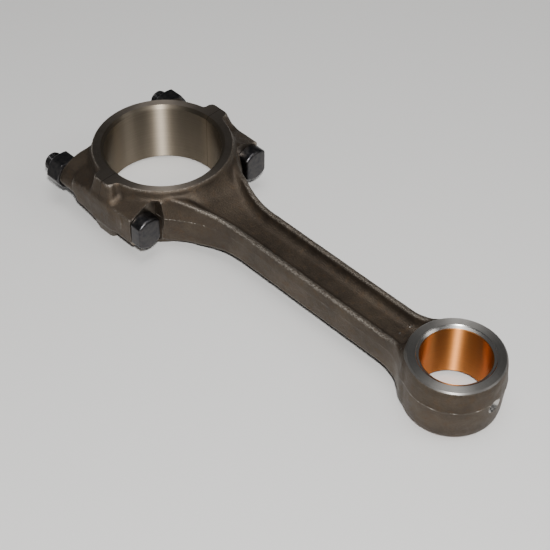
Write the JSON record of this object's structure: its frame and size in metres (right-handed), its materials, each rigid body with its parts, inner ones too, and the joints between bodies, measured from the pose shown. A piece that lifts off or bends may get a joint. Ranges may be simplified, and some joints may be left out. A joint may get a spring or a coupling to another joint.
{
  "type": "connecting rod",
  "caption": "Forged I-beam connecting rod with a bolted big-end cap, D-headed cap bolts with hex nuts, and a bronze-lined small-end bush.",
  "frame": {"origin": "centre of the big-end bore, midway between the machined faces", "axes": "+Z along the big-end bore, +X from the big-end bore towards the small-end bore, +Y across the rod"},
  "size_m": [0.2983, 0.1016, 0.0394],
  "materials": {
    "forged_steel": "dark forged scale with machined faces",
    "blackened_steel": "black oxide",
    "bush_bronze": "fine bored"
  },
  "bodies": {
    "rod": {"rod_body": "forged_steel", "small_end_bush": "bush_bronze"},
    "cap": {"big_end_cap": "forged_steel"},
    "bolt_left": {"cap_bolt_left": "blackened_steel"},
    "bolt_right": {"cap_bolt_right": "blackened_steel"},
    "nut_left": {"cap_nut_left": "blackened_steel"},
    "nut_right": {"cap_nut_right": "blackened_steel"}
  },
  "joints": [
    {"name": "cap_lift_off", "type": "slide", "parent": "rod", "child": "cap", "axis": [-1, 0, 0], "range_m": [0, 0.056]},
    {"name": "nut_left_off", "type": "slide", "parent": "cap", "child": "nut_left", "axis": [-1, 0, 0], "range_m": [0, 0.02]},
    {"name": "nut_right_off", "type": "slide", "parent": "cap", "child": "nut_right", "axis": [-1, 0, 0], "range_m": [0, 0.02]},
    {"name": "bolt_left_out", "type": "slide", "parent": "rod", "child": "bolt_left", "axis": [1, 0, 0], "range_m": [0, 0.082]},
    {"name": "bolt_right_out", "type": "slide", "parent": "rod", "child": "bolt_right", "axis": [1, 0, 0], "range_m": [0, 0.082]}
  ]
}
